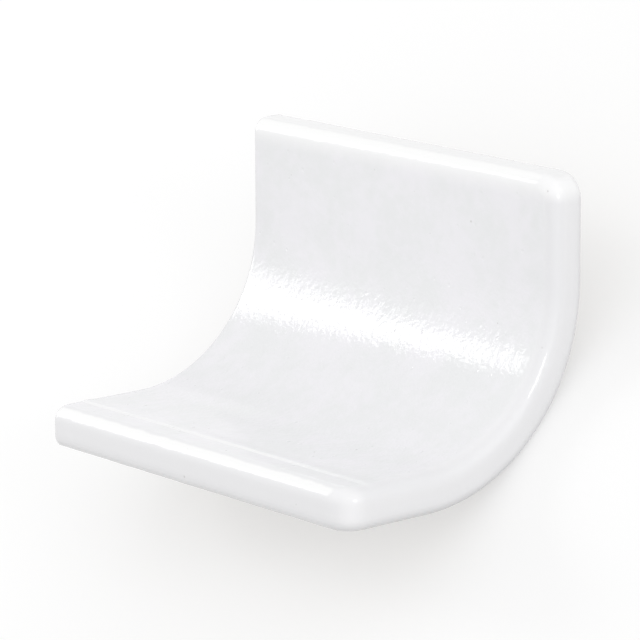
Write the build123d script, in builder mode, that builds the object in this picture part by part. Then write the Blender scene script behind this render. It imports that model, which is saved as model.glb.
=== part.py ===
from build123d import *
import os
from math import hypot, radians, tan

# Glazed cove tile that turns the inner corner between a stair tread and its riser.
#
# The tile is one fired piece: a leg that lies along the tread and a leg that stands against
# the riser, joined by a quarter-round cove of the same wall. The hollow side is the glazed
# face. Both lips and one end are rolled over as a bullnose, and the other end is cut square
# to butt against the next tile. The back is bare clay with shallow blind keys for mortar.
#
# The tile is drawn as it lies on a level floor, rocked back on its round heel until its
# weight is over the line that it rests on. X runs along the tile towards the bullnose end,
# Z is up, and the origin is the middle of the line of contact.

# Body, in millimetres
tile_length = 73.0
tread_leg = 50.0
riser_leg = 50.0
wall = 7.0
cove_radius = 25.4

# Rolled and eased edges
bullnose_radius = 2.5
corner_radius = 4.5
back_edge_radius = 2.0
cut_end_radius = 0.5

# Mortar keys in the back
key_pitch = 6.3
key_width = 2.6
key_depth = 0.7
key_draft = 65.0
key_end_land = 6.0
key_edge_land = 4.0

heel_radius = cove_radius + wall
tread_reach = tread_leg - heel_radius
riser_reach = riser_leg - heel_radius
near_zero = 0.01

# Section of the wall, with the cove's axis at the origin, the tread along x and the riser along y
with BuildSketch() as section:
    with BuildLine():
        riser_outline = Polyline(
            (-cove_radius, 0), (-cove_radius, riser_reach), (-heel_radius, riser_reach), (-heel_radius, 0)
        )
        tread_outline = Polyline(
            (0, -heel_radius), (tread_reach, -heel_radius), (tread_reach, -cove_radius), (0, -cove_radius)
        )
        heel_arc = RadiusArc(riser_outline @ 1, tread_outline @ 0, -heel_radius)
        cove_arc = RadiusArc(tread_outline @ 1, riser_outline @ 0, cove_radius)
    make_face()

# The tile rocks until the middle of its section hangs straight below the cove's axis
middle = section.face().center(CenterOf.MASS)
tread_direction = Vector(0, middle.Y, -middle.X).normalized()
section_plane = Plane(origin=(0, 0, heel_radius), x_dir=tread_direction, z_dir=(-1, 0, 0))


def depth_below_face(edge):
    """Depth of an edge's middle below the glazed face, square to the wall."""
    point = section_plane.to_local_coords(edge @ 0.5)
    if point.X > 0:
        return -cove_radius - point.Y
    if point.Y > 0:
        return -cove_radius - point.X
    return hypot(point.X, point.Y) - cove_radius


def inset_from_rim(edge):
    """Distance of an edge's middle from the nearest lip, or from the bullnose end."""
    point = section_plane.to_local_coords(edge @ 0.5)
    return min(tread_reach - point.X, riser_reach - point.Y, tile_length / 2 + point.Z)


def rim_edges(edges, depth):
    """The edges that run round the lips and the bullnose end at a depth below the face."""
    not_on_cut_end = edges.filter_by(lambda edge: (edge @ 0.5).X > near_zero - tile_length / 2)
    on_rim = not_on_cut_end.filter_by(lambda edge: inset_from_rim(edge) < corner_radius)
    return on_rim.filter_by(lambda edge: abs(depth_below_face(edge) - depth) < near_zero)


with BuildPart() as cove_tile:
    with BuildSketch(section_plane):
        add(section.sketch)
    extrude(amount=tile_length / 2, both=True)

    # The two corners of the bullnose end, seen square to each leg
    fillet(rim_edges(cove_tile.edges(), wall / 2), corner_radius)

    # The roll of the glazed face over both lips and the bullnose end, and the softer back edge
    fillet(rim_edges(cove_tile.edges(), 0), bullnose_radius)
    fillet(rim_edges(cove_tile.edges(), wall), back_edge_radius)

    # The cut end is only eased
    fillet(cove_tile.faces().sort_by(Axis.X)[0].edges(), cut_end_radius)

    # Blind keys, drafted so that the pressed back leaves its die
    heel_keys = 2 * round(heel_arc.length / key_pitch / 2)
    tread_keys = int((tread_reach - key_edge_land) / key_pitch)
    riser_keys = int((riser_reach - key_edge_land) / key_pitch)
    key_step = 90 / heel_keys
    key_height = 2 * key_depth
    key_base = key_width + key_height / tan(radians(key_draft))
    with BuildSketch(section_plane):
        with PolarLocations(heel_radius, heel_keys, 180 + key_step / 2, 90 - key_step, endpoint=True):
            Trapezoid(key_base, key_height, key_draft, rotation=90)
        for index in range(tread_keys):
            with Locations(((index + 0.5) * key_pitch, -heel_radius)):
                Trapezoid(key_base, key_height, key_draft)
        for index in range(riser_keys):
            with Locations((-heel_radius, (index + 0.5) * key_pitch)):
                Trapezoid(key_base, key_height, key_draft, rotation=-90)
    extrude(amount=tile_length / 2 - key_end_land, both=True, mode=Mode.SUBTRACT)

cove_tile.part.label = "cove_tile"

os.makedirs("parts", exist_ok=True)
export_step(cove_tile.part, "parts/cove_tile.step")
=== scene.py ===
import logging
import math
from collections.abc import Callable
from dataclasses import asdict, dataclass, field
from enum import Enum
from itertools import product

import bpy
from bpy.types import ID, Material, Node, NodeSocket, NodeTree, Object, World
from mathutils import Matrix, Vector


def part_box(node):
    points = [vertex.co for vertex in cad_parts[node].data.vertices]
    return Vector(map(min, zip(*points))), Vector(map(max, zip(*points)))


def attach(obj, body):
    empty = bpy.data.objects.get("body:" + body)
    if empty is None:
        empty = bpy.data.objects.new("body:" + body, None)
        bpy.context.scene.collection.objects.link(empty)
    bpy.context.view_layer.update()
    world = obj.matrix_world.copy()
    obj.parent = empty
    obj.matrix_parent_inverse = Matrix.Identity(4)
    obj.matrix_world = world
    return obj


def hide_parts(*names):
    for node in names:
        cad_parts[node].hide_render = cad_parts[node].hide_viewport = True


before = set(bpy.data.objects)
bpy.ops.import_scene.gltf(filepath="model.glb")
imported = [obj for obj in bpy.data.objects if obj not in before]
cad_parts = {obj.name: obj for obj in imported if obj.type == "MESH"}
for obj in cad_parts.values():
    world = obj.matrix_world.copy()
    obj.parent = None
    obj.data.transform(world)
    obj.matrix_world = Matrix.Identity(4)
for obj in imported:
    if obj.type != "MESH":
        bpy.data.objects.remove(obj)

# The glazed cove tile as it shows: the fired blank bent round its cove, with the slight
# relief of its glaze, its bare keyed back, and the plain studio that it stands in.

log = logging.getLogger("cove_tile")
logging.basicConfig(level=logging.INFO, format="%(message)s")

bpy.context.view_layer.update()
MM = 0.001
TINY = 1e-6
GRID_DIGITS = 5
QUARTER_TURN = math.pi / 2

Colour = tuple[float, float, float, float]
Direction = tuple[float, float, float]


class Side(Enum):
    """The two legs of the tile, by the sign of their place across the developed blank."""

    TREAD = -1
    RISER = 1


class LampShape(Enum):
    """Outline of a soft lamp, with the share of its width times height that it fills."""

    RECTANGLE = 1.0
    ELLIPSE = math.pi / 4


@dataclass(frozen=True)
class TileSizes:
    """Sizes of the fired tile, in millimetres."""

    length: float
    tread_leg: float = 50.0
    riser_leg: float = 50.0
    wall: float = 7.0
    cove_radius: float = 25.4
    bullnose_radius: float = 2.5
    corner_radius: float = 4.5
    back_edge_radius: float = 2.0
    cut_end_radius: float = 0.5
    key_pitch: float = 6.3
    key_width: float = 2.6
    key_depth: float = 0.7
    key_draft: float = 65.0
    key_end_land: float = 6.0
    key_edge_land: float = 4.0

    @property
    def heel_radius(self) -> float:
        """Radius of the back of the cove."""
        return self.cove_radius + self.wall

    @property
    def half_arc(self) -> float:
        """Half of the cove's length, measured along the glazed face."""
        return self.cove_radius * math.pi / 4

    def reach(self, side: Side) -> float:
        """Length of the flat of one leg, from the cove to its lip."""
        leg = self.tread_leg if side is Side.TREAD else self.riser_leg
        return leg - self.heel_radius

    def lip(self, side: Side) -> float:
        """Distance of a lip from the middle of the cove, along the glazed face."""
        return self.half_arc + self.reach(side)


@dataclass(frozen=True)
class GlazeLimits:
    """Where the glaze ends and changes: its lengths in millimetres, and its turns in degrees.

    The low, high and fade values of the lips' painted highlight are turns round a lip. rim_start
    and cut_edge_share are shares, and side_gain and rim_gain tell how fast a mark grows.
    """

    back_lap: float = 0.5
    end_lap: float = 0.45
    full_margin: float = 4.0
    side_gain: float = 1.3
    cut_edge_share: float = 0.8
    ridge_inset: float = 6.2
    ridge_front: float = 0.8
    ridge_rear: float = 2.6
    # How far the painted glow beside the riser's lip reaches into the face.
    lip_fade: float = 2.4
    rim_start: float = 0.3
    rim_gain: float = 2.0
    # Turns round a lip, and the taper toward the rolled end, of the lips' painted highlight.
    crest_low: float = 19.0
    crest_high: float = 76.0
    crest_fade: float = 20.0
    crest_taper_start: float = 6.3
    crest_taper: float = 3.6


@dataclass(frozen=True)
class MeshDensity:
    """How finely the blank is divided, in millimetres or in steps.

    ridge_span is how many of the ridge's fronts its fine lines reach ahead of the crest.
    """

    along: float = 0.52
    across: float = 0.45
    ridge_step: float = 0.18
    ridge_span: float = 1.4
    key_end_step: float = 0.06
    corner_steps: int = 6
    bullnose_steps: int = 9
    side_steps: int = 3
    back_edge_steps: int = 5
    end_steps: int = 2


@dataclass(frozen=True)
class RimRing:
    """One ring of the blank's rounded edge, from the glazed face round to the back."""

    inset: float
    depth: float
    outward: float
    faceward: float


@dataclass(frozen=True)
class Station:
    """One line of the blank's grid.

    place is where it lies, corner how far it is into the rounded corner, cut_inset how far
    the section is drawn in at the cut end, and key the share of a mortar key's depth.
    """

    place: float
    corner: float = 0.0
    cut_inset: float = 0.0
    key: float = 0.0


@dataclass(frozen=True)
class GridPoint:
    """One point of the blank's grid: its two lines, its ring and its place on the slab."""

    along: Station
    across: Station
    ring: RimRing
    place: Vector


def steps(end: float, count: int) -> list[float]:
    """Even steps from 0 to an end, both included."""
    return [end * index / count for index in range(count + 1)]


def spread(low: float, high: float, step: float) -> list[float]:
    """Even places from one end of a stretch to the other, no further apart than a step."""
    count = max(1, math.ceil((high - low) / step - TINY))
    return [low + shift for shift in steps(high - low, count)]


def fill_gaps(places: list[float], step: float) -> list[float]:
    """Adds even places wherever two neighbours lie too far apart.

    Args:
        places: The places, in any order.
        step: The widest that a gap may be.

    Returns:
        The places and the added ones, sorted.
    """
    ordered = sorted(set(round(place, GRID_DIGITS) for place in places))
    filled = [ordered[0]]
    for low, high in zip(ordered, ordered[1:]):
        filled += spread(low, high, step)[1:]
    return filled


def add_object(name: str, data: ID) -> Object:
    """Adds an object to the scene.

    Args:
        name: Its name.
        data: Its mesh, lamp or camera.

    Returns:
        The object, at the origin.
    """
    made = bpy.data.objects.new(name, data)
    bpy.context.scene.collection.objects.link(made)
    return made


@dataclass
class KeyedBack:
    """The blind mortar keys of the back, as they lie across the developed blank.

    The lengths are those of the slight round of a key's edges, past the edge and short of
    it, and edge_share is the share of the depth that the round takes.
    """

    sizes: TileSizes
    edge_outside: float = 0.1
    edge_inside: float = 0.025
    edge_share: float = 0.07

    def centres(self) -> list[tuple[float, float]]:
        """Lays out the keys.

        Returns:
            Middle of each key, with the developed length of one millimetre of the back there.
        """
        sizes = self.sizes
        heel_count = 2 * round(sizes.heel_radius * QUARTER_TURN / sizes.key_pitch / 2)
        step = 2 * sizes.half_arc / heel_count
        heel_scale = sizes.cove_radius / sizes.heel_radius
        found = [(-sizes.half_arc + (index + 0.5) * step, heel_scale) for index in range(heel_count)]
        for side in Side:
            for index in range(int((sizes.reach(side) - sizes.key_edge_land) / sizes.key_pitch)):
                found.append((side.value * (sizes.half_arc + (index + 0.5) * sizes.key_pitch), 1.0))
        return sorted(found)

    def profile(self) -> list[tuple[float, float]]:
        """Draws half of a key's section, with its edges slightly rounded.

        Returns:
            Distances from the key's middle, with the share of its depth at each.
        """
        sizes = self.sizes
        mouth = sizes.key_width / 2
        foot = mouth - sizes.key_depth / math.tan(math.radians(sizes.key_draft))
        return [
            (0.0, 1.0),
            (foot - self.edge_outside, 1.0),
            (foot + self.edge_inside, 1 - self.edge_share),
            (mouth - self.edge_inside, self.edge_share),
            (mouth + self.edge_outside, 0.0),
        ]

    def lines(self) -> dict[float, float]:
        """Finds the places across the blank where a key's section turns.

        Returns:
            The share of a key's depth at each place.
        """
        found: dict[float, float] = {}
        for (centre, scale), (distance, share) in product(self.centres(), self.profile()):
            for sign in (-1, 1):
                found[round(centre + sign * distance * scale, GRID_DIGITS)] = share
        return found

    def share_at(self, place: float) -> float:
        """Reads the depth of the keys between the lines where their section turns.

        Args:
            place: The place across the blank.

        Returns:
            The share of a key's depth there.
        """
        lines = sorted(self.lines().items())
        below = [line for line in lines if line[0] <= place + TINY]
        above = [line for line in lines if line[0] >= place - TINY]
        if not below or not above:
            return 0.0
        (low, low_share), (high, high_share) = below[-1], above[0]
        if high - low < TINY:
            return low_share
        return low_share + (high_share - low_share) * (place - low) / (high - low)


@dataclass
class FiredBlank:
    """The tile as a flat slab, before its bend: rolled edges, round corners and keyed back.

    Its grid is that of a box: lines along the tile, lines across it, and rings from the
    glazed face round the edge to the back. Lengths across it are those of the glazed face.
    """

    sizes: TileSizes
    density: MeshDensity
    keys: KeyedBack
    limits: GlazeLimits
    rings: list[RimRing] = field(init=False)
    along: list[Station] = field(init=False)
    across: list[Station] = field(init=False)

    def __post_init__(self) -> None:
        """Lays out the grid."""
        self.rings = self.make_rings()
        self.along = self.make_along()
        self.across = self.make_across()

    def make_rings(self) -> list[RimRing]:
        """Lays out the rings of the edge.

        Returns:
            The rings of the rolled lip, of the plain side and of the round back edge.
        """
        sizes, density = self.sizes, self.density
        roll, back = sizes.bullnose_radius, sizes.back_edge_radius
        side_end = sizes.wall - back
        rings = []
        for turn in steps(QUARTER_TURN, density.bullnose_steps):
            sine, cosine = math.sin(turn), math.cos(turn)
            rings.append(RimRing(roll * (1 - sine), roll * (1 - cosine), sine, cosine))
        for drop in steps(side_end - roll, density.side_steps)[1:-1]:
            rings.append(RimRing(0.0, roll + drop, 1.0, 0.0))
        for turn in steps(QUARTER_TURN, density.back_edge_steps):
            sine, cosine = math.sin(turn), math.cos(turn)
            rings.append(RimRing(back * (1 - cosine), side_end + back * sine, cosine, -sine))
        return rings

    def make_along(self) -> list[Station]:
        """Lays out the lines across the slab.

        Returns:
            The lines, from its cut end to its rolled end.
        """
        sizes, density = self.sizes, self.density
        half = sizes.length / 2
        low, high = -half + sizes.cut_end_radius, half - sizes.corner_radius
        stations = []
        for turn in steps(QUARTER_TURN, density.end_steps)[:-1]:
            place = -half + sizes.cut_end_radius * (1 - math.cos(turn))
            stations.append(Station(place, cut_inset=sizes.cut_end_radius * (1 - math.sin(turn))))
        key_end = half - sizes.key_end_land
        shifts = (-density.key_end_step, density.key_end_step)
        key_ends = [sign * key_end + shift for sign, shift in product((-1, 1), shifts)]
        for place in fill_gaps([low, high, *key_ends], density.along):
            stations.append(Station(place, key=1.0 if abs(place) < key_end else 0.0))
        return stations + [Station(high, corner=share) for share in steps(1.0, density.corner_steps)[1:]]

    def make_across(self) -> list[Station]:
        """Lays out the lines along the slab, closer together on the ridge.

        Returns:
            The lines, from the tread's lip to the riser's lip.
        """
        sizes, density, limits = self.sizes, self.density, self.limits
        low = -(sizes.lip(Side.TREAD) - sizes.corner_radius)
        high = sizes.lip(Side.RISER) - sizes.corner_radius
        places = [low, high, -sizes.half_arc, 0.0, sizes.half_arc, *self.keys.lines()]
        crest = -(sizes.lip(Side.TREAD) - limits.ridge_inset)
        front_foot = crest - density.ridge_span * limits.ridge_front
        places += spread(front_foot, crest + limits.ridge_front, density.ridge_step)
        places = [place for place in places if low <= place <= high]
        corners = steps(1.0, density.corner_steps)[1:]
        stations = [Station(low, corner=-share) for share in reversed(corners)]
        for place in fill_gaps(places, density.across):
            stations.append(Station(place, key=self.keys.share_at(place)))
        return stations + [Station(high, corner=share) for share in corners]

    def point(self, along: Station, across: Station, ring: RimRing) -> GridPoint:
        """Places one grid point on the flat slab, with the glazed face at height 0.

        Args:
            along: Its line across the slab.
            across: Its line along the slab.
            ring: Its ring round the edge.

        Returns:
            The point, in millimetres.
        """
        inset = ring.inset + along.cut_inset * ring.outward
        depth = ring.depth + along.cut_inset * ring.faceward
        radius = self.sizes.corner_radius - inset
        x = along.place + along.corner * math.sqrt(1 - across.corner**2 / 2) * radius
        y = across.place + across.corner * math.sqrt(1 - along.corner**2 / 2) * radius
        return GridPoint(along, across, ring, Vector((x, y, -depth)))

    def glaze_margin(self, at: GridPoint) -> float:
        """Tells the glaze from the bare clay.

        Args:
            at: The grid point.

        Returns:
            How far inside the glaze it lies, in millimetres, and below 0 on bare clay.
        """
        limits, sizes = self.limits, self.sizes
        from_lip = sizes.lip(Side.RISER if at.place.y > 0 else Side.TREAD) - abs(at.place.y)
        if at.ring is self.rings[-1]:
            inward = min(from_lip, sizes.length / 2 - at.place.x) - sizes.back_edge_radius
            margin = limits.back_lap - inward
        else:
            margin = limits.back_lap + limits.side_gain * (sizes.wall - at.ring.depth)
        if at.along.place <= -sizes.length / 2 + TINY:
            inward = min(-at.place.z, from_lip) - sizes.cut_end_radius
            margin = min(margin, limits.end_lap - inward)
        elif at.along.cut_inset:
            margin = min(margin, limits.end_lap + limits.cut_edge_share * sizes.cut_end_radius)
        return max(-limits.full_margin, min(margin, limits.full_margin))

    def rim_share(self, at: GridPoint) -> float:
        """Finds how much of the rolled edge's own waviness a point has.

        Args:
            at: The grid point.

        Returns:
            The share, from 0 to 1.
        """
        limits = self.limits
        if at.ring is self.rings[0]:
            return limits.rim_start * max(at.along.corner, abs(at.across.corner)) ** 2
        if at.ring is self.rings[-1]:
            return 0.0
        return min(1.0, limits.rim_start + limits.rim_gain * at.ring.outward)

    def key_share(self, at: GridPoint) -> float:
        """Share of a mortar key's depth at a point, 0 off the back."""
        return at.along.key * at.across.key if at.ring is self.rings[-1] else 0.0

    def crest_share(self, at: GridPoint) -> float:
        """Finds how near a point lies to the painted highlight along a lip's rolled edge.

        Args:
            at: The grid point.

        Returns:
            1 where the lip faces forward and up once the tile stands, where the glaze's colour
            paints the lip's highlight, and 0 away from it.
        """
        if at.ring.faceward < 0 or abs(at.across.corner) < 1:
            return 0.0
        limits = self.limits
        turn = math.degrees(math.atan2(at.ring.outward, at.ring.faceward))
        rise = turn if at.across.corner > 0 else 90 - turn
        inside = min(rise - limits.crest_low, limits.crest_high - rise, limits.crest_fade)
        place = at.along.place + self.sizes.corner_radius * at.along.corner
        past_taper = max(0.0, place - self.sizes.length / 2 + limits.crest_taper_start)
        return max(0.0, inside / limits.crest_fade - (past_taper / limits.crest_taper) ** 2)

    def roll_share(self, at: GridPoint) -> float:
        """How near a point lies to the middle of the rolled end's curve, from 0 to 1, for the painted shade
        there.
        """
        turned = 2 * at.ring.outward * max(0.0, at.ring.faceward)
        return turned * at.along.corner * (1 - abs(at.across.corner))

    def lip_share(self, at: GridPoint) -> float:
        """How near a point of the face lies to the rolled edge of the riser, from 0 to 1, for the painted
        glow there.
        """
        inward = self.sizes.lip(Side.RISER) - at.place.y - self.sizes.bullnose_radius
        return max(0.0, 1 - max(0.0, inward) / self.limits.lip_fade)

    def marks(self) -> dict[str, Callable[[GridPoint], float]]:
        """What the bend and the glaze read at each point, by the attribute's name."""
        return {
            "glaze_margin": self.glaze_margin,
            "rim": self.rim_share,
            "key": self.key_share,
            # These three marks place painted light in the glaze's colour: a highlight on the lips' crests,
            # shade on the rolled end's curve and a glow beside the riser's lip.
            "crest": self.crest_share,
            "roll": self.roll_share,
            "lip": self.lip_share,
        }

    def build(self, name: str) -> Object:
        """Builds the slab as one closed mesh with its attributes.

        Args:
            name: Name of the new object.

        Returns:
            The object, in millimetres.
        """
        numbers: dict[tuple[int, ...], int] = {}
        faces: list[list[int]] = []

        def vertex(*spot: int) -> int:
            """Number of a grid point, given when it is first asked for."""
            return numbers.setdefault(spot, len(numbers))

        def cover(rows: int, columns: int, near: Callable, far: Callable) -> None:
            """Adds the faces of two opposite sides of the grid.

            Args:
                rows: Rows of faces on each side.
                columns: Columns of faces.
                near: Grid point of one side at a row and a column.
                far: Grid point of the other side, whose faces are turned over.
            """
            for row, column in product(range(rows), range(columns)):
                corners = ((row, column), (row + 1, column), (row + 1, column + 1), (row, column + 1))
                faces.append([vertex(*near(*corner)) for corner in corners])
                faces.append([vertex(*far(*corner)) for corner in reversed(corners)])

        i_end, j_end, k_end = (len(lines) - 1 for lines in (self.along, self.across, self.rings))
        cover(i_end, j_end, lambda i, j: (i, j, 0), lambda i, j: (i, j, k_end))
        cover(i_end, k_end, lambda i, k: (i, j_end, k), lambda i, k: (i, 0, k))
        cover(j_end, k_end, lambda j, k: (0, j, k), lambda j, k: (i_end, j, k))

        points = [self.point(self.along[i], self.across[j], self.rings[k]) for i, j, k in numbers]
        mesh = bpy.data.meshes.new(name)
        mesh.from_pydata([at.place for at in points], [], faces)
        for label, mark in self.marks().items():
            values = [mark(at) for at in points]
            mesh.attributes.new(label, "FLOAT", "POINT").data.foreach_set("value", values)
        mesh.polygons.foreach_set("use_smooth", [True] * len(faces))
        return add_object(name, mesh)


@dataclass
class TreeWriter:
    """Adds nodes to one tree and joins them up."""

    tree: NodeTree
    gap: float = 190.0

    def node(self, kind: str, fed: dict[int | str, object] | None = None, **settings: object) -> Node:
        """Adds a node, right of those before it.

        Args:
            kind: Its type.
            fed: The socket or value that each input gets, by the input's name or number.
            **settings: Its settings, which are made first.

        Returns:
            The node.
        """
        made = self.tree.nodes.new(kind)
        made.location = (self.gap * len(self.tree.nodes), 0)
        for name, value in settings.items():
            setattr(made, name, value)
        for label, value in (fed or {}).items():
            if isinstance(value, NodeSocket):
                self.tree.links.new(value, made.inputs[label])
            else:
                made.inputs[label].default_value = value
        return made

    def shape(self, kind: str, fed: dict[str, object], **settings: object) -> NodeSocket:
        """A shape, once a geometry node has changed it."""
        return self.node(f"GeometryNode{kind}", fed, **settings).outputs["Geometry"]

    def math(self, operation: str, *values: object, clamp: bool = False) -> NodeSocket:
        """Result of one Math node."""
        fed = dict(enumerate(values))
        return self.node("ShaderNodeMath", fed, operation=operation, use_clamp=clamp).outputs[0]

    def add(self, first: object, second: object) -> NodeSocket:
        """Sum of two numbers."""
        return self.math("ADD", first, second)

    def less(self, first: object, second: object) -> NodeSocket:
        """The first number less the second."""
        return self.math("SUBTRACT", first, second)

    def times(self, first: object, second: object) -> NodeSocket:
        """Product of two numbers."""
        return self.math("MULTIPLY", first, second)

    def over(self, first: object, second: object) -> NodeSocket:
        """The first number divided by the second."""
        return self.math("DIVIDE", first, second)

    def vector_math(self, operation: str, first: object, second: object) -> Node:
        """One Vector Math node on two values."""
        fed = {0: first, "Scale" if operation == "SCALE" else 1: second}
        return self.node("ShaderNodeVectorMath", fed, operation=operation)

    def vector(self, x: object, y: object, z: object) -> NodeSocket:
        """Vector of three numbers."""
        return self.node("ShaderNodeCombineXYZ", {0: x, 1: y, 2: z}).outputs[0]

    def parts(self, vector: object) -> bpy.types.NodeOutputs:
        """The three numbers of a vector."""
        return self.node("ShaderNodeSeparateXYZ", {0: vector}).outputs

    def noise(self, place: object, scale: object, detail: float = 2.0) -> NodeSocket:
        """Value of a Noise Texture, about 0.5 on average."""
        fed = {"Vector": place, "Scale": scale, "Detail": detail}
        return self.node("ShaderNodeTexNoise", fed).outputs[0]

    def sway(self, place: object, scale: object, detail: float = 2.0) -> NodeSocket:
        """Value of a Noise Texture, about 0 on average."""
        return self.less(self.noise(place, scale, detail), 0.5)

    def ramp(self, value: object, low: float, high: float, *ends: float) -> NodeSocket:
        """A value taken smoothly from one range to another, or to 0 and 1."""
        fed = dict(enumerate((value, low, high, *(ends or (0.0, 1.0)))))
        return self.node("ShaderNodeMapRange", fed, interpolation_type="SMOOTHSTEP").outputs[0]

    def blend(self, share: object, first: object, second: object) -> NodeSocket:
        """A colour between two colours."""
        return self.node("ShaderNodeMix", {0: share, 6: first, 7: second}, data_type="RGBA").outputs[2]

    def mix(self, share: object, first: object, second: object) -> NodeSocket:
        """A number between two numbers."""
        return self.node("ShaderNodeMix", {0: share, 2: first, 3: second}, data_type="FLOAT").outputs[0]

    def attribute(self, name: str) -> NodeSocket:
        """Values of one of the tile's attributes, as a material reads them."""
        return self.node("ShaderNodeAttribute", attribute_name=name).outputs["Fac"]


def new_group(kind: str, name: str, given: dict[str, str], made: dict[str, str]) -> TreeWriter:
    """Starts a node group.

    Args:
        kind: Kind of the group, Geometry or Shader.
        name: Its name.
        given: Kinds of its inputs, by their names.
        made: Kinds of its outputs, by their names.

    Returns:
        The group's writer.
    """
    tree = bpy.data.node_groups.new(name, f"{kind}NodeTree")
    for in_out, sockets in (("INPUT", given), ("OUTPUT", made)):
        for label, socket in sockets.items():
            tree.interface.new_socket(label, in_out=in_out, socket_type=f"NodeSocket{socket}")
    return TreeWriter(tree)


def empty_nodes(owner: Material | World) -> TreeWriter:
    """Empties a material's or a world's tree.

    Args:
        owner: The material or world.

    Returns:
        The tree's writer.
    """
    owner.use_nodes = True
    owner.node_tree.nodes.clear()
    return TreeWriter(owner.node_tree)


@dataclass(frozen=True)
class GlazeRelief:
    """The fired glaze's slight waviness and ridge, in millimetres.

    The slope values are shares of the ridge's front, slope_middle ahead of its crest, and
    place the painted highlight on its front slope; the line values tell where along the tile
    that painted highlight fades, and to what.
    """

    face_wave: float = 0.06
    face_wave_size: float = 5.5
    rim_wave: float = 0.11
    rim_wave_size: float = 4.5
    ridge_height: float = 0.13
    ridge_wander: float = 0.25
    seed: float = 7.0
    edge_fade: float = 0.5
    face_foot: float = -0.3
    face_top: float = -0.1
    slope_middle: float = 0.4
    slope_core: float = 0.05
    slope_reach: float = 0.85
    line_start: float = 8.0
    line_end: float = 33.0
    line_end_share: float = 0.25


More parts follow.
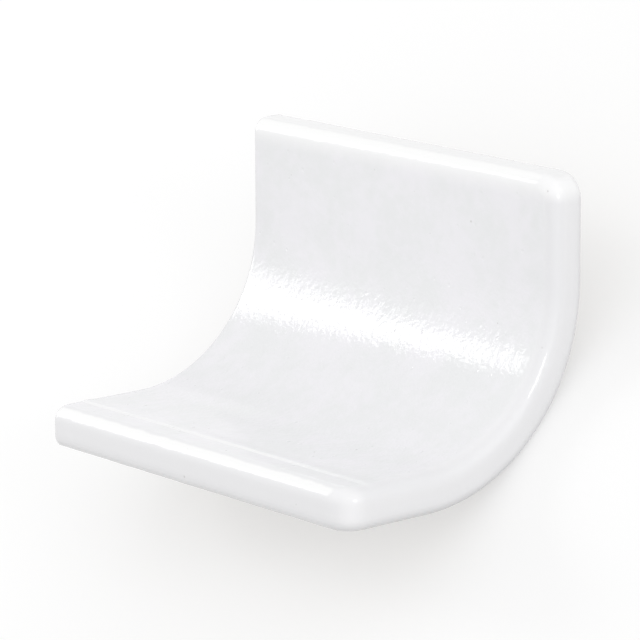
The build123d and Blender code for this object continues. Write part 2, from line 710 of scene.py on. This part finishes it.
@dataclass
class CoveBend:
    """The Geometry Nodes tree that sinks the keys, waves the glaze and bends the slab."""

    sizes: TileSizes
    limits: GlazeLimits
    relief: GlazeRelief

    def inputs(self) -> dict[str, float]:
        """The tree's named sizes, with their values."""
        sizes, limits, relief = self.sizes, self.limits, self.relief
        return {
            "Cove Radius": sizes.cove_radius,
            "Wall": sizes.wall,
            "Half Arc": sizes.half_arc,
            "Key Depth": sizes.key_depth,
            "Ridge Place": sizes.lip(Side.TREAD) - limits.ridge_inset,
            "Ridge Height": relief.ridge_height,
            "Ridge Front": limits.ridge_front,
            "Ridge Rear": limits.ridge_rear,
            "Ridge Wander": relief.ridge_wander,
            "Face Wave": relief.face_wave,
            "Face Wave Size": relief.face_wave_size,
            "Rim Wave": relief.rim_wave,
            "Rim Wave Size": relief.rim_wave_size,
            "Seed": relief.seed,
        }

    def tree(self) -> NodeTree:
        """Builds the tree: relief first, then keys, bend and scale, then the glaze.

        Returns:
            The tree, which takes the blank and gives the tile.
        """
        sockets = {"Blank": "Geometry", **dict.fromkeys(self.inputs(), "Float"), "Glaze": "Material"}
        write = new_group("Geometry", "cove_bend", sockets, {"Tile": "Geometry"})
        given = write.node("NodeGroupInput").outputs
        shape = self.add_relief(write, given, given["Blank"])
        shape = self.sink_keys(write, given, shape)
        shape = self.bend(write, given, shape)
        shape = write.shape("Transform", {"Geometry": shape, "Scale": (MM, MM, MM)})
        shape = write.shape("RealizeInstances", {"Geometry": shape})
        shape = write.shape("SetMaterial", {"Geometry": shape, "Material": given["Glaze"]})
        write.node("NodeGroupOutput", {"Tile": shape})
        return write.tree

    def named(self, write: TreeWriter, name: str) -> NodeSocket:
        """Values of one of the blank's attributes."""
        reader = write.node("GeometryNodeInputNamedAttribute", {"Name": name}, data_type="FLOAT")
        return reader.outputs["Attribute"]

    def ridge(self, write: TreeWriter, given: object, across: object, wander: object) -> tuple:
        """The ridge across the slab, steep in front and gentle behind.

        Args:
            write: The tree's writer.
            given: Outputs of the tree's Group Input node.
            across: Place across the slab.
            wander: How far the ridge strays from its line.

        Returns:
            Its height, from 0 to 1, and how near a point lies to the middle of its front slope,
            where the glaze's colour paints a highlight.
        """
        relief = self.relief
        ahead = write.less(write.times(across, -1.0), write.add(given["Ridge Place"], wander))
        front = write.over(ahead, given["Ridge Front"])
        rear = write.over(ahead, write.times(given["Ridge Rear"], -1.0))
        height = write.ramp(write.math("MAXIMUM", front, rear), 0.0, 1.0, 1.0, 0.0)
        from_slope = write.math("ABSOLUTE", write.less(front, relief.slope_middle))
        return height, write.ramp(from_slope, relief.slope_core, relief.slope_reach, 1.0, 0.0)

    def add_relief(self, write: TreeWriter, given: object, shape: NodeSocket) -> NodeSocket:
        """Waves the glaze inwards and raises the ridge beside the tread's lip.

        Args:
            write: The tree's writer.
            given: Outputs of the tree's Group Input node.
            shape: The slab.

        Returns:
            The slab with its relief, and the mask of the ridge's painted highlight stored on it.
        """
        relief = self.relief
        place = write.node("GeometryNodeInputPosition").outputs[0]
        normal = write.node("GeometryNodeInputNormal").outputs[0]
        seeded = write.vector_math("ADD", place, write.vector(*[given["Seed"]] * 3)).outputs[0]
        glazed = write.ramp(self.named(write, "glaze_margin"), -relief.edge_fade, relief.edge_fade)
        face_noise = write.noise(seeded, write.over(1.0, given["Face Wave Size"]))
        rim_noise = write.noise(seeded, write.over(1.0, given["Rim Wave Size"]))
        face_wave = write.times(face_noise, given["Face Wave"])
        rim_wave = write.times(write.times(rim_noise, given["Rim Wave"]), self.named(write, "rim"))
        sunk = write.times(write.add(face_wave, rim_wave), glazed)

        along, across, height = write.parts(place)
        wander = write.times(write.less(rim_noise, 0.5), given["Ridge Wander"])
        raised, line = self.ridge(write, given, across, wander)
        on_face = write.ramp(height, relief.face_foot, relief.face_top)
        raised = write.times(write.times(raised, given["Ridge Height"]), on_face)
        # Along the tile, the ridge's painted highlight fades toward the rolled end.
        faded = write.ramp(along, relief.line_start, relief.line_end, 1.0, relief.line_end_share)
        line = write.times(write.times(line, faded), on_face)
        marked = {"Geometry": shape, "Name": "ridge_highlight", "Value": line}
        shape = write.shape("StoreNamedAttribute", marked, data_type="FLOAT", domain="POINT")
        lifted = write.vector_math("SCALE", normal, write.less(raised, sunk)).outputs[0]
        return write.shape("SetPosition", {"Geometry": shape, "Offset": lifted})

    def sink_keys(self, write: TreeWriter, given: object, shape: NodeSocket) -> NodeSocket:
        """Raises the floor of each key into the back."""
        rise = write.vector(0.0, 0.0, write.times(self.named(write, "key"), given["Key Depth"]))
        return write.shape("SetPosition", {"Geometry": shape, "Offset": rise})

    def bend(self, write: TreeWriter, given: object, shape: NodeSocket) -> NodeSocket:
        """Wraps the middle of the slab round the cove and leaves its legs flat.

        Args:
            write: The tree's writer.
            given: Outputs of the tree's Group Input node.
            shape: The flat slab.

        Returns:
            The bent tile, resting on its heel at height 0.
        """
        along, across, height = write.parts(write.node("GeometryNodeInputPosition").outputs[0])
        low = write.times(given["Half Arc"], -1.0)
        in_cove = write.math("MINIMUM", write.math("MAXIMUM", across, low), given["Half Arc"])
        turn = write.over(in_cove, given["Cove Radius"])
        on_leg = write.less(across, in_cove)
        reach = write.less(given["Cove Radius"], height)
        sine, cosine = write.math("SINE", turn), write.math("COSINE", turn)
        heel = write.add(given["Cove Radius"], given["Wall"])
        y = write.add(write.times(reach, sine), write.times(on_leg, cosine))
        drop = write.less(write.times(reach, cosine), write.times(on_leg, sine))
        spot = write.vector(along, y, write.less(heel, drop))
        return write.shape("SetPosition", {"Geometry": shape, "Position": spot})

    def apply(self, blank: Object, glaze: Material, name: str) -> Object:
        """Bends a blank and keeps the result as a plain mesh.

        Args:
            blank: The flat slab, which is removed.
            glaze: Material of the tile.
            name: Name of the tile's object.

        Returns:
            The finished tile, at the origin.
        """
        tree = self.tree()
        modifier = blank.modifiers.new("bend", "NODES")
        modifier.node_group = tree
        values: dict[str, object] = {**self.inputs(), "Glaze": glaze}
        for item in tree.interface.items_tree:
            if item.in_out == "INPUT" and item.name in values:
                modifier[item.identifier] = values[item.name]
        bpy.context.view_layer.update()
        graph = bpy.context.evaluated_depsgraph_get()
        mesh = bpy.data.meshes.new_from_object(blank.evaluated_get(graph), depsgraph=graph)
        flat = blank.data
        bpy.data.objects.remove(blank)
        bpy.data.meshes.remove(flat)
        mesh.name = name
        return add_object(name, mesh)


@dataclass(frozen=True)
class StrewnPits:
    """Round pits strewn over a surface: share is how many cells of a spacing hold one."""

    spacing: float
    share: float
    radius: float
    seed: float


@dataclass(frozen=True)
class Mottling:
    """Soft mottling of a colour: its size in millimetres and the share that is fine."""

    size: float
    fine_share: float


@dataclass
class ShaderGroups:
    """Shader node groups that the tile's glaze and bare clay share, each built once.

    least_pit is the smallest pit's share of the radius, pit_slope the share of a pit that
    slopes, and fine_ratio how many times finer the fine mottling is than the coarse.
    """

    least_pit: float = 0.5
    pit_slope: float = 0.7
    fine_ratio: float = 5.0
    mottle_gain: float = 2.5
    pits: NodeTree = field(init=False)
    mottle: NodeTree = field(init=False)

    def __post_init__(self) -> None:
        """Builds the groups."""
        self.pits = self.make_pits()
        self.mottle = self.make_mottle()

    def make_pits(self) -> NodeTree:
        """Builds the group for strewn pits.

        Returns:
            The group, whose mask is 1 in the middle of each pit.
        """
        sockets = {"Place": "Vector", **dict.fromkeys(("Spacing", "Share", "Radius", "Seed"), "Float")}
        write = new_group("Shader", "strewn_pits", sockets, {"Mask": "Float"})
        given = write.node("NodeGroupInput").outputs
        place = write.vector_math("ADD", given["Place"], write.vector(*[given["Seed"]] * 3)).outputs[0]
        fed = {"Vector": place, "Scale": write.over(1.0, given["Spacing"])}
        cells = write.node("ShaderNodeTexVoronoi", fed, feature="F1").outputs
        chance, size_chance, _ = write.node("ShaderNodeSeparateColor", {0: cells["Color"]}).outputs
        distance = write.times(cells["Distance"], given["Spacing"])
        size = write.times(given["Radius"], write.add(size_chance, self.least_pit))
        near = write.math("SUBTRACT", 1.0, write.over(distance, size), clamp=True)
        kept = write.math("LESS_THAN", chance, given["Share"])
        write.node("NodeGroupOutput", {"Mask": write.times(write.ramp(near, 0.0, self.pit_slope), kept)})
        return write.tree

    def make_mottle(self) -> NodeTree:
        """Builds the group for soft mottling.

        Returns:
            The group, whose tone runs from about -1 to 1.
        """
        sockets = {"Place": "Vector", "Size": "Float", "Fine Share": "Float"}
        write = new_group("Shader", "soft_mottle", sockets, {"Tone": "Float"})
        given = write.node("NodeGroupInput").outputs
        coarse = write.sway(given["Place"], write.over(1.0, given["Size"]), detail=1.0)
        fine = write.sway(given["Place"], write.over(self.fine_ratio, given["Size"]))
        tone = write.add(coarse, write.times(fine, given["Fine Share"]))
        write.node("NodeGroupOutput", {"Tone": write.times(tone, self.mottle_gain)})
        return write.tree

    def mask(self, write: TreeWriter, where: NodeSocket, pits: StrewnPits) -> NodeSocket:
        """Mask of some strewn pits, in a material's tree, at a place in millimetres."""
        fed = {"Place": where, **{name.title(): value for name, value in asdict(pits).items()}}
        return write.node("ShaderNodeGroup", fed, node_tree=self.pits).outputs["Mask"]

    def tone(self, write: TreeWriter, where: NodeSocket, mottling: Mottling) -> NodeSocket:
        """Tone of a soft mottling, in a material's tree, at a place in millimetres."""
        fed = {"Place": where, "Size": mottling.size, "Fine Share": mottling.fine_share}
        return write.node("ShaderNodeGroup", fed, node_tree=self.mottle).outputs["Tone"]


@dataclass(frozen=True)
class WhiteGlaze:
    """White gloss glaze over the face and edges, and the bare fired clay of the back.

    Sizes, heights and depths are in millimetres, and a noise's scale is its waves per
    millimetre. A reach is how far a value runs either way before its colour is full. Its
    colours paint highlights on the lips and the ridge and shade on the rolled end.
    """

    colour: Colour = (0.868, 0.862, 0.886, 1.0)
    shade_colour: Colour = (0.834, 0.840, 0.848, 1.0)
    rim_colour: Colour = (0.870, 0.868, 0.880, 1.0)
    # Painted shade, darkening the middle of the rolled end's curve.
    roll_colour: Colour = (0.815, 0.814, 0.829, 1.0)
    # Painted highlight colour, toward which the lips' crests, the riser's lip and the ridge's front slope
    # are whitened.
    crest_colour: Colour = (0.96, 0.96, 0.958, 1.0)
    thin_colour: Colour = (0.80, 0.77, 0.72, 1.0)
    pit_colour: Colour = (0.30, 0.27, 0.25, 1.0)
    clay_colour: Colour = (0.66, 0.59, 0.49, 1.0)
    clay_dark: Colour = (0.47, 0.40, 0.32, 1.0)

    glaze_roughness: float = 0.14
    rim_roughness: float = 0.11
    clay_roughness: float = 0.85
    glaze_ior: float = 1.5

    pits: StrewnPits = StrewnPits(spacing=3.4, share=0.25, radius=0.22, seed=3.0)
    pit_share: float = 0.3
    pit_depth: float = 0.04
    dents: StrewnPits = StrewnPits(spacing=1.9, share=0.4, radius=0.3, seed=5.0)
    dent_depth: float = 0.04
    mottling: Mottling = Mottling(size=10.0, fine_share=0.7)
    mottle_reach: float = 0.6

    peel_height: float = 0.045
    peel_size: float = 0.95
    fine_peel_height: float = 0.012
    fine_peel_size: float = 0.4
    rim_peel_share: float = 0.3
    cove_edge: float = 12.0
    flat_start: float = 24.0
    flat_peel_share: float = 0.4

    # Strengths and reaches of the painted highlights along the lips and the ridge, and of the painted glow
    # beside the riser's lip.
    lip_whitening: float = 0.6
    lip_full: float = 1.3
    ridge_whitening: float = 0.7
    crest_ragging: float = 0.9
    crest_scale: float = 0.45
    crest_start: float = 0.25
    crest_full: float = 0.75

    glaze_thickness: float = 0.12
    edge_wander: float = 0.5
    edge_scale: float = 0.35
    edge_reach: float = 0.06
    thin_width: float = 0.7
    thin_share: float = 0.5

    clay_mottling: Mottling = Mottling(size=9.0, fine_share=1.0)
    clay_shading: float = 0.6
    clay_holes: StrewnPits = StrewnPits(spacing=2.2, share=0.35, radius=0.32, seed=11.0)
    hole_shading: float = 0.6
    hole_depth: float = 0.12
    grain_height: float = 0.05
    grain_scale: float = 2.4

    def body(self, write: TreeWriter, tone: NodeSocket, pit: NodeSocket, line: NodeSocket,
             where: NodeSocket) -> NodeSocket:
        """Colours the glaze.

        Args:
            write: Writer of the material's tree.
            tone: Tone of its mottling.
            pit: Mask of its pits.
            line: Distance inside the glaze's wandering edge, in millimetres.
            where: Place on the tile, in millimetres.

        Returns:
            The colour: mottled, with painted highlights along both lips and the ridge, painted
            shade on the rolled end, and thin at the glaze's edge.
        """
        mottle = write.ramp(tone, -self.mottle_reach, self.mottle_reach)
        colour = write.blend(mottle, self.colour, self.shade_colour)
        colour = write.blend(write.attribute("rim"), colour, self.rim_colour)
        # Painted shade on the rolled end's curve.
        colour = write.blend(write.attribute("roll"), colour, self.roll_colour)
        # Painted glow on the riser's face just below its lip.
        lip = write.ramp(write.attribute("lip"), 0.0, self.lip_full, 0.0, self.lip_whitening)
        colour = write.blend(lip, colour, self.crest_colour)
        # Painted highlight along the lips' crests, with ragged edges.
        ragged_highlight = write.times(write.sway(where, self.crest_scale), self.crest_ragging)
        crest = write.add(write.attribute("crest"), ragged_highlight)
        crest = write.ramp(crest, self.crest_start, self.crest_full)
        # Painted highlight on the ridge's front slope, in the same colour as the lips'.
        ridge = write.times(write.attribute("ridge_highlight"), self.ridge_whitening)
        colour = write.blend(write.math("MAXIMUM", crest, ridge), colour, self.crest_colour)
        thin = write.ramp(line, 0.0, self.thin_width, 1.0, 0.0)
        colour = write.blend(write.times(thin, self.thin_share), colour, self.thin_colour)
        return write.blend(write.times(pit, self.pit_share), colour, self.pit_colour)

    def clay(self, write: TreeWriter, tone: NodeSocket, hole: NodeSocket) -> NodeSocket:
        """Colour of the bare clay, darker in its mottling and its holes."""
        shade = write.ramp(tone, -1.0, 1.0, 0.0, self.clay_shading)
        clay = write.blend(shade, self.clay_colour, self.clay_dark)
        return write.blend(write.times(hole, self.hole_shading), clay, self.clay_dark)

    def glaze_height(self, write: TreeWriter, dent: NodeSocket, pit: NodeSocket, rim: NodeSocket,
                     where: NodeSocket) -> NodeSocket:
        """Gives the glaze its orange peel, which is strongest in the cove, and its dents and pits.

        Args:
            write: Writer of the material's tree.
            dent: Mask of its dents.
            pit: Mask of its pits.
            rim: Share of the rolled edge.
            where: Place on the tile, in millimetres.

        Returns:
            The glaze's height above the clay, in millimetres.
        """
        peel = write.times(write.noise(where, 1 / self.peel_size, detail=1.0), self.peel_height)
        fine_peel = write.noise(where, 1 / self.fine_peel_size, detail=1.0)
        peel = write.add(peel, write.times(fine_peel, self.fine_peel_height))
        off_cove = write.math("ABSOLUTE", write.parts(where)["Y"])
        flat = write.ramp(off_cove, self.cove_edge, self.flat_start, 1.0, self.flat_peel_share)
        peel = write.less(write.times(peel, flat), write.times(dent, self.dent_depth))
        peel = write.times(peel, write.mix(rim, 1.0, self.rim_peel_share))
        return write.add(write.less(peel, write.times(pit, self.pit_depth)), self.glaze_thickness)

    def material(self, groups: ShaderGroups) -> Material:
        """Builds the material.

        Args:
            groups: The shared shader groups.

        Returns:
            The material, which reads the tile's attributes.
        """
        made = bpy.data.materials.new("white_glaze")
        write = empty_nodes(made)
        where = write.node("ShaderNodeTexCoord").outputs["Object"]
        where = write.vector_math("SCALE", where, 1 / MM).outputs[0]
        wander = write.times(write.sway(where, self.edge_scale, detail=3.0), 2 * self.edge_wander)
        line = write.add(write.attribute("glaze_margin"), wander)
        glazed = write.ramp(line, -self.edge_reach, self.edge_reach)
        rim = write.attribute("rim")
        pit = groups.mask(write, where, self.pits)
        dent = groups.mask(write, where, self.dents)
        hole = groups.mask(write, where, self.clay_holes)

        body = self.body(write, groups.tone(write, where, self.mottling), pit, line, where)
        clay = self.clay(write, groups.tone(write, where, self.clay_mottling), hole)
        grain = write.times(write.noise(where, self.grain_scale, detail=5.0), self.grain_height)
        grain = write.less(grain, write.times(hole, self.hole_depth))
        height = write.mix(glazed, grain, self.glaze_height(write, dent, pit, rim, where))
        bump = write.node("ShaderNodeBump", {"Strength": 1.0, "Distance": MM, "Height": height})
        gloss = write.mix(rim, self.glaze_roughness, self.rim_roughness)
        shader = write.node("ShaderNodeBsdfPrincipled", {
            "Base Color": write.blend(glazed, clay, body),
            "Roughness": write.mix(glazed, self.clay_roughness, gloss),
            "Normal": bump.outputs[0],
            "IOR": self.glaze_ior,
        })
        write.node("ShaderNodeOutputMaterial", {"Surface": shader.outputs[0]})
        return made


@dataclass
class GlazedTile:
    """The tile itself, which stands for its CAD node."""

    sizes: TileSizes
    name: str = "glazed_cove_tile"
    node: str = "cove_tile"
    density: MeshDensity = MeshDensity()
    limits: GlazeLimits = GlazeLimits()
    relief: GlazeRelief = GlazeRelief()
    finish: WhiteGlaze = WhiteGlaze()

    def build(self, groups: ShaderGroups) -> Object:
        """Builds the tile, bends it and puts it in the CAD node's place.

        Args:
            groups: The shared shader groups.

        Returns:
            The tile's object.
        """
        blank = FiredBlank(self.sizes, self.density, KeyedBack(self.sizes), self.limits)
        slab = blank.build("flat_blank")
        glaze = self.finish.material(groups)
        tile = CoveBend(self.sizes, self.limits, self.relief).apply(slab, glaze, self.name)
        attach(tile, "root")
        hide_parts(self.node)
        return tile


@dataclass(frozen=True)
class StandingFrame:
    """The tile as it stands on its tread, against the tile as it lies rocked on its heel.

    In the standing frame the tread's back is at height 0, the riser's back at y 0, the
    tread reaches toward -y, and x runs from the cut end to the rolled end, in millimetres.
    """

    sizes: TileSizes
    tilt: float = math.radians(-45)

    def turn(self, direction: Vector) -> Vector:
        """A direction of the standing frame, as the lying tile has it."""
        return Matrix.Rotation(self.tilt, 3, "X") @ direction

    def middle(self) -> Vector:
        """Middle of the standing tile's box, in the standing frame."""
        return Vector((self.sizes.length / 2, -self.sizes.tread_leg / 2, self.sizes.riser_leg / 2))

    def place(self, point: Vector) -> Vector:
        """A point of the standing frame, in metres in the lying tile's frame."""
        drop = self.sizes.heel_radius * (1 - math.sqrt(2))
        return (self.turn(point) + Vector((-self.sizes.length / 2, 0, drop))) * MM

    def pose(self, axes: list[Vector], spot: Vector) -> Matrix:
        """Pose of a thing with its own X, Y and Z axes at a spot, both of the lying frame."""
        return Matrix.Translation(spot) @ Matrix(axes).transposed().to_4x4()


@dataclass(frozen=True)
class SoftBox:
    """One soft lamp, placed by its direction from the standing tile."""

    name: str
    direction: Direction
    width: float
    height: float
    distance: float
    radiance: float
    shape: LampShape = LampShape.RECTANGLE

    def build(self, frame_of: StandingFrame) -> None:
        """Adds the lamp, facing the tile with its width along the tile.

        Args:
            frame_of: The standing tile's frame.
        """
        lamp = bpy.data.lights.new(self.name, "AREA")
        lamp.shape = self.shape.name
        lamp.size, lamp.size_y = self.width, self.height
        lamp.energy = self.radiance * math.pi * self.width * self.height * self.shape.value
        toward = frame_of.turn(Vector(self.direction)).normalized()
        sideways = (Vector((1, 0, 0)) - toward * toward.x).normalized()
        spot = frame_of.place(frame_of.middle()) + toward * self.distance
        made = add_object(self.name, lamp)
        made.matrix_world = frame_of.pose([sideways, toward.cross(sideways), toward], spot)


@dataclass(frozen=True)
class TileCamera:
    """The camera, by its bearings round the standing tile and its distance in tile lengths."""

    azimuth: float = 49.468
    elevation: float = 12.641
    roll: float = -0.1945
    distance: float = 8.92399
    aside: float = -0.00155
    above: float = 0.00171
    lens: float = 229.24
    nearest: float = 0.05
    furthest: float = 20.0

    def build(self, frame_of: StandingFrame) -> None:
        """Adds the camera and makes it the scene's.

        Args:
            frame_of: The standing tile's frame.
        """
        azimuth, elevation, roll = map(math.radians, (self.azimuth, self.elevation, self.roll))
        outward = Vector((math.sin(azimuth), -math.cos(azimuth), 0))
        back = outward * math.cos(elevation) + Vector((0, 0, math.sin(elevation)))
        level = Vector((math.cos(azimuth), math.sin(azimuth), 0))
        upward = back.cross(level)
        right = level * math.cos(roll) + upward * math.sin(roll)
        up = upward * math.cos(roll) - level * math.sin(roll)
        distance = self.distance * frame_of.sizes.length
        spot = frame_of.middle() + (back - right * self.aside - up * self.above) * distance
        view = bpy.data.cameras.new("tile_view")
        view.lens = self.lens
        view.clip_start, view.clip_end = self.nearest, self.furthest
        axes = [frame_of.turn(axis) for axis in (right, up, back)]
        made = add_object("tile_view", view)
        made.matrix_world = frame_of.pose(axes, frame_of.place(spot))
        bpy.context.scene.camera = made


@dataclass(frozen=True)
class SkyLobe:
    """A soft brighter part of the surround, round a direction from the standing tile."""

    direction: Direction
    strength: float
    width: float


@dataclass(frozen=True)
class Studio:
    """Plain pale floor, soft lamps and an even surround, with two brighter parts past the rolled end.

    The key and side lamps at the left are those that the cove reflects. The small edge
    lamp at the right lights the rolled end.
    """

    floor_half: float = 1.5
    floor_colour: Colour = (0.42, 0.42, 0.42, 1.0)
    floor_glow: float = 0.56
    surround_level: float = 0.935
    low_lobe: SkyLobe = SkyLobe(direction=(0.95, -0.3, 0.0), strength=0.62, width=0.35)
    high_lobe: SkyLobe = SkyLobe(direction=(0.85, 0.35, 0.45), strength=0.55, width=0.3)
    key_lamp: SoftBox = SoftBox(
        "key_lamp", (-0.789, -0.478, 0.386), width=0.30, height=0.165, distance=0.9, radiance=3.4
    )
    side_lamp: SoftBox = SoftBox(
        "side_lamp", (-0.878, -0.386, 0.288), width=0.45, height=0.45, distance=0.914, radiance=3.2,
        shape=LampShape.ELLIPSE
    )
    edge_lamp: SoftBox = SoftBox(
        "edge_lamp", (0.87, -0.20, 0.28), width=0.14, height=0.19, distance=0.8, radiance=7.0
    )

    def build(self, frame_of: StandingFrame) -> None:
        """Builds the whole studio.

        Args:
            frame_of: The standing tile's frame.
        """
        self.floor()
        self.surround(frame_of)
        for lamp in (self.key_lamp, self.side_lamp, self.edge_lamp):
            lamp.build(frame_of)
        bpy.context.scene.view_settings.view_transform = "Standard"

    def floor(self) -> None:
        """Lays the floor, which shows white and keeps the tile's shadow."""
        half = self.floor_half
        mesh = bpy.data.meshes.new("studio_floor")
        corners = [(-half, -half, 0), (half, -half, 0), (half, half, 0), (-half, half, 0)]
        mesh.from_pydata(corners, [], [(0, 1, 2, 3)])
        material = bpy.data.materials.new("pale_floor")
        write = empty_nodes(material)
        path = write.node("ShaderNodeLightPath").outputs
        seen = write.math("ADD", path["Is Camera Ray"], path["Is Glossy Ray"], clamp=True)
        seen = write.math("ADD", seen, path["Is Transmission Ray"], clamp=True)
        matte = write.node("ShaderNodeBsdfDiffuse", {"Color": self.floor_colour}).outputs[0]
        glow = write.node("ShaderNodeEmission", {"Strength": write.times(seen, self.floor_glow)}).outputs[0]
        lit = write.node("ShaderNodeAddShader", {0: matte, 1: glow}).outputs[0]
        clear = write.node("ShaderNodeBsdfTransparent").outputs[0]
        below = write.node("ShaderNodeNewGeometry").outputs["Backfacing"]
        both = write.node("ShaderNodeMixShader", {0: below, 1: lit, 2: clear}).outputs[0]
        write.node("ShaderNodeOutputMaterial", {"Surface": both})
        mesh.materials.append(material)
        add_object("studio_floor", mesh)

    def surround(self, frame_of: StandingFrame) -> None:
        """Sets the world: even, with its brighter parts, and white when seen.

        Args:
            frame_of: The standing tile's frame.
        """
        world = bpy.data.worlds.new("studio_surround")
        bpy.context.scene.world = world
        write = empty_nodes(world)
        toward = write.node("ShaderNodeTexCoord").outputs["Generated"]
        level = self.surround_level
        for lobe in (self.low_lobe, self.high_lobe):
            centre = tuple(frame_of.turn(Vector(lobe.direction)).normalized())
            facing = write.vector_math("DOT_PRODUCT", toward, centre).outputs["Value"]
            level = write.add(level, write.ramp(facing, 1.0 - 2 * lobe.width, 1.0, 0.0, lobe.strength))
        seen = write.node("ShaderNodeLightPath").outputs["Is Camera Ray"]
        shine = write.node("ShaderNodeBackground", {"Strength": write.mix(seen, level, 1.0)})
        write.node("ShaderNodeOutputWorld", {"Surface": shine.outputs[0]})


def report_piece(piece: Object) -> None:
    """Logs a piece with its size and its count of faces."""
    size = ", ".join(f"{value / MM:.2f}" for value in piece.dimensions)
    log.info("%s: %s mm, %d faces", piece.name, size, len(piece.data.polygons))


def main() -> None:
    """Builds the tile, then the studio round it."""
    low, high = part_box("cove_tile")
    sizes = TileSizes(length=(high[0] - low[0]) / MM)
    standing = StandingFrame(sizes)
    tile = GlazedTile(sizes).build(ShaderGroups())
    report_piece(tile)
    Studio().build(standing)
    TileCamera().build(standing)
    bpy.context.view_layer.update()


if __name__ == "__main__":
    main()
